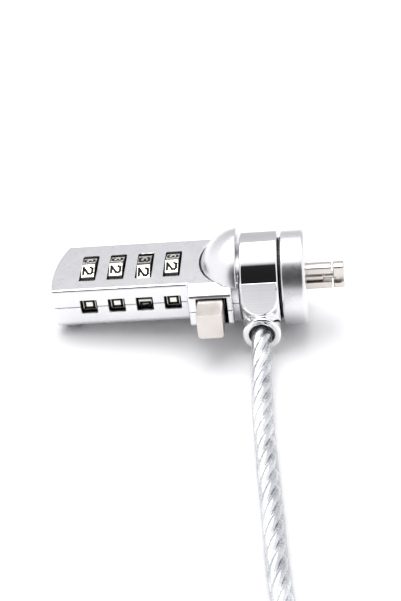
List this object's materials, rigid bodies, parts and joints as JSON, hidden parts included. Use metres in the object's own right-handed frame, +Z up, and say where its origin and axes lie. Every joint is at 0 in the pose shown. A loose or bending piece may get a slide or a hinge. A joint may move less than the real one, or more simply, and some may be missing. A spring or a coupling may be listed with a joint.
{
  "type": "laptop cable lock",
  "caption": "Combination lock for a laptop security slot: flat satin case with turning number dials, side push button, round head with T-bar tip, swivelling collar and looped steel cable.",
  "frame": {"origin": "centre of the lock's footprint on the surface it lies on, without the free cable", "axes": "+X along the lock from its tail to its T-bar tip, -Y the side of the push button and the cable, +Z up"},
  "size_m": [0.0764, 0.2493, 0.0218],
  "materials": {
    "satin_zinc": "satin chrome on zinc alloy",
    "polished_chrome": "polished chrome",
    "warm_nickel": "satin warm nickel",
    "steel": "plain steel",
    "black_nylon": "black nylon",
    "dial_black": "black with pale number fields",
    "clear_jacket": "clear jacket over steel rope"
  },
  "bodies": {
    "case": {"upper_shell": "satin_zinc", "lower_shell": "satin_zinc", "head_dome": "satin_zinc", "swivel_core": "steel", "spacer_washer": "black_nylon", "head_disc": "satin_zinc", "slot_post_plate": "warm_nickel", "case_screw_tail_front": "steel", "case_screw_tail_back": "steel", "case_screw_head": "steel", "dial_detent_spring": "steel", "spindle_spring": "steel", "button_spring": "steel"},
    "dial_1_set": {"dial_1": "dial_black", "code_sleeve_1": "steel"},
    "dial_2_set": {"dial_2": "dial_black", "code_sleeve_2": "steel"},
    "dial_3_set": {"dial_3": "dial_black", "code_sleeve_3": "steel"},
    "dial_4_set": {"dial_4": "dial_black", "code_sleeve_4": "steel"},
    "spindle": {"locking_spindle": "steel", "spindle_cam_pin": "steel"},
    "button": {"release_button": "warm_nickel", "button_slider": "steel"},
    "t_bar_set": {"t_bar": "warm_nickel", "t_bar_pinion": "steel", "t_bar_clip": "steel"},
    "collar": {"swivel_collar": "polished_chrome", "collar_friction_ring": "black_nylon", "cable_ferrule": "steel", "ferrule_pin": "steel", "cable": "clear_jacket", "cable_coil": "clear_jacket", "cable_tail": "clear_jacket", "loop_ferrule": "steel", "cable_loop": "clear_jacket"},
    "reset_screw": {"code_reset_screw": "warm_nickel"}
  },
  "joints": [
    {"name": "dial_1_turn", "type": "hinge", "parent": "case", "child": "dial_1_set", "pos_m": [-0.02331, 0.00317, 0.00759], "axis": [0.9963, 0, 0.0861], "continuous": true},
    {"name": "dial_2_turn", "type": "hinge", "parent": "case", "child": "dial_2_set", "pos_m": [-0.01724, 0.00317, 0.00811], "axis": [0.9963, 0, 0.0861], "continuous": true},
    {"name": "dial_3_turn", "type": "hinge", "parent": "case", "child": "dial_3_set", "pos_m": [-0.01116, 0.00317, 0.00864], "axis": [0.9963, 0, 0.0861], "continuous": true},
    {"name": "dial_4_turn", "type": "hinge", "parent": "case", "child": "dial_4_set", "pos_m": [-0.00508, 0.00317, 0.00916], "axis": [0.9963, 0, 0.0861], "continuous": true},
    {"name": "button_press", "type": "slide", "parent": "case", "child": "button", "axis": [0, 1, 0], "range_m": [0, 0.00314], "stiffness_N_per_m": 400, "springref_m": -0.001},
    {"name": "spindle_draw", "type": "slide", "parent": "case", "child": "spindle", "axis": [-0.9963, 0, -0.0861], "range_m": [0, 0.00201]},
    {"name": "t_bar_turn", "type": "hinge", "parent": "case", "child": "t_bar_set", "pos_m": [0.02271, 0.00317, 0.01157], "axis": [-0.9963, 0, -0.0861], "range_deg": [0, 90]},
    {"name": "collar_swivel", "type": "hinge", "parent": "case", "child": "collar", "pos_m": [0.01375, 0.00317, 0.01079], "axis": [0.9963, 0, 0.0861], "continuous": true},
    {"name": "code_reset_turn", "type": "hinge", "parent": "case", "child": "reset_screw", "pos_m": [-0.03009, 0.00317, 0.007], "axis": [0.9963, 0, 0.0861], "range_deg": [0, 90]}
  ],
  "couplings": [
    {"joint": "spindle_draw", "follows": "button_press", "ratio": 0.6369},
    {"joint": "t_bar_turn", "follows": "button_press", "rad_per_m": 500}
  ]
}
